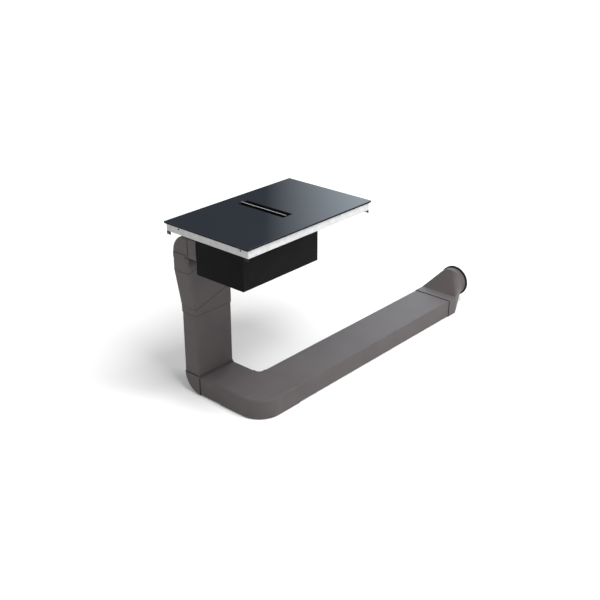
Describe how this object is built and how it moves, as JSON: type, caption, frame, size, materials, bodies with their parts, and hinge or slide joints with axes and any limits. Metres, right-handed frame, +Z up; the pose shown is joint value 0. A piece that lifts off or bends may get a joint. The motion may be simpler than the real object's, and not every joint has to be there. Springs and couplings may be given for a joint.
{
  "type": "downdraft vent",
  "caption": "Induction hob with a long central intake slot and tilting flap, an extractor box beneath, and flat ducting down to the floor, round a corner and out to a round outlet.",
  "frame": {"origin": "on the floor, at the middle of the whole object's footprint", "axes": "+X along the long floor duct towards the round outlet, +Y to the back of the hob, +Z up"},
  "size_m": [1.76, 0.54, 0.8605],
  "materials": {
    "black_glass": "polished",
    "light_steel": "satin",
    "bright_steel": "satin",
    "black_metal": "satin",
    "black_plastic": "matte",
    "black_rubber": "matte",
    "duct_plastic": "matte",
    "bare_aluminium": "satin",
    "copper_winding": "satin",
    "circuit_board": "satin",
    "motor_metal": "satin"
  },
  "bodies": {
    "root": {"bottom_bend": "duct_plastic", "cable_gland": "black_plastic", "clamp_screws": "light_steel", "coil_carrier_left": "bare_aluminium", "coil_carrier_right": "bare_aluminium", "coil_front_left": "copper_winding", "coil_front_right": "copper_winding", "coil_rear_left": "copper_winding", "coil_rear_right": "copper_winding", "cooling_fan_frame_left": "black_plastic", "cooling_fan_frame_right": "black_plastic", "corner_bend": "duct_plastic", "duct_seals": "black_rubber", "extractor_housing": "black_plastic", "fan_motor": "motor_metal", "fan_mounts": "black_rubber", "fan_volute": "black_plastic", "floor_duct_long": "duct_plastic", "floor_duct_short": "duct_plastic", "glass_seal": "black_rubber", "glass_top": "black_glass", "heat_sink_left": "bare_aluminium", "heat_sink_right": "bare_aluminium", "housing_lid": "black_plastic", "inlet_ring": "black_plastic", "intake_shaft": "black_plastic", "motor_screws": "light_steel", "offset_duct": "duct_plastic", "outlet_collar": "duct_plastic", "outlet_lip": "black_rubber", "power_board_left": "circuit_board", "power_board_right": "circuit_board", "rear_elbow": "duct_plastic", "riser_duct": "duct_plastic", "round_adapter": "duct_plastic", "support_tray": "light_steel", "terminal_box": "black_plastic", "touch_panel": "circuit_board", "tray_screws": "light_steel", "volute_cover": "black_plastic", "worktop_clamps": "black_metal"},
    "insert": {"insert_frame": "black_metal", "filter_basket": "bright_steel", "grease_filter": "bright_steel"},
    "flap": {"intake_flap": "black_metal", "flap_trim": "bright_steel", "flap_pins": "bright_steel"},
    "impeller": {"impeller": "black_plastic"},
    "cooling_rotor_left": {"cooling_fan_rotor_left": "black_plastic"},
    "cooling_rotor_right": {"cooling_fan_rotor_right": "black_plastic"},
    "service_pan": {"service_pan": "black_plastic"}
  },
  "joints": [
    {"name": "insert_lift", "type": "slide", "parent": "root", "child": "insert", "axis": [0, 0, 1], "range_m": [0, 0.16]},
    {"name": "flap_tilt", "type": "hinge", "parent": "insert", "child": "flap", "pos_m": [-0.479, 0.046, 0.8435], "axis": [0, -1, 0], "range_deg": [0, 75]},
    {"name": "impeller_spin", "type": "hinge", "parent": "root", "child": "impeller", "pos_m": [-0.765, -0.095, 0.76], "axis": [0, 0, 1], "continuous": true},
    {"name": "cooling_left_spin", "type": "hinge", "parent": "root", "child": "cooling_rotor_left", "pos_m": [-0.6845, 0.18, 0.825], "axis": [0, 0, 1], "continuous": true},
    {"name": "cooling_right_spin", "type": "hinge", "parent": "root", "child": "cooling_rotor_right", "pos_m": [-0.2435, 0.18, 0.825], "axis": [0, 0, 1], "continuous": true},
    {"name": "service_pan_drop", "type": "slide", "parent": "root", "child": "service_pan", "axis": [0, 0, -1], "range_m": [0, 0.12]}
  ]
}
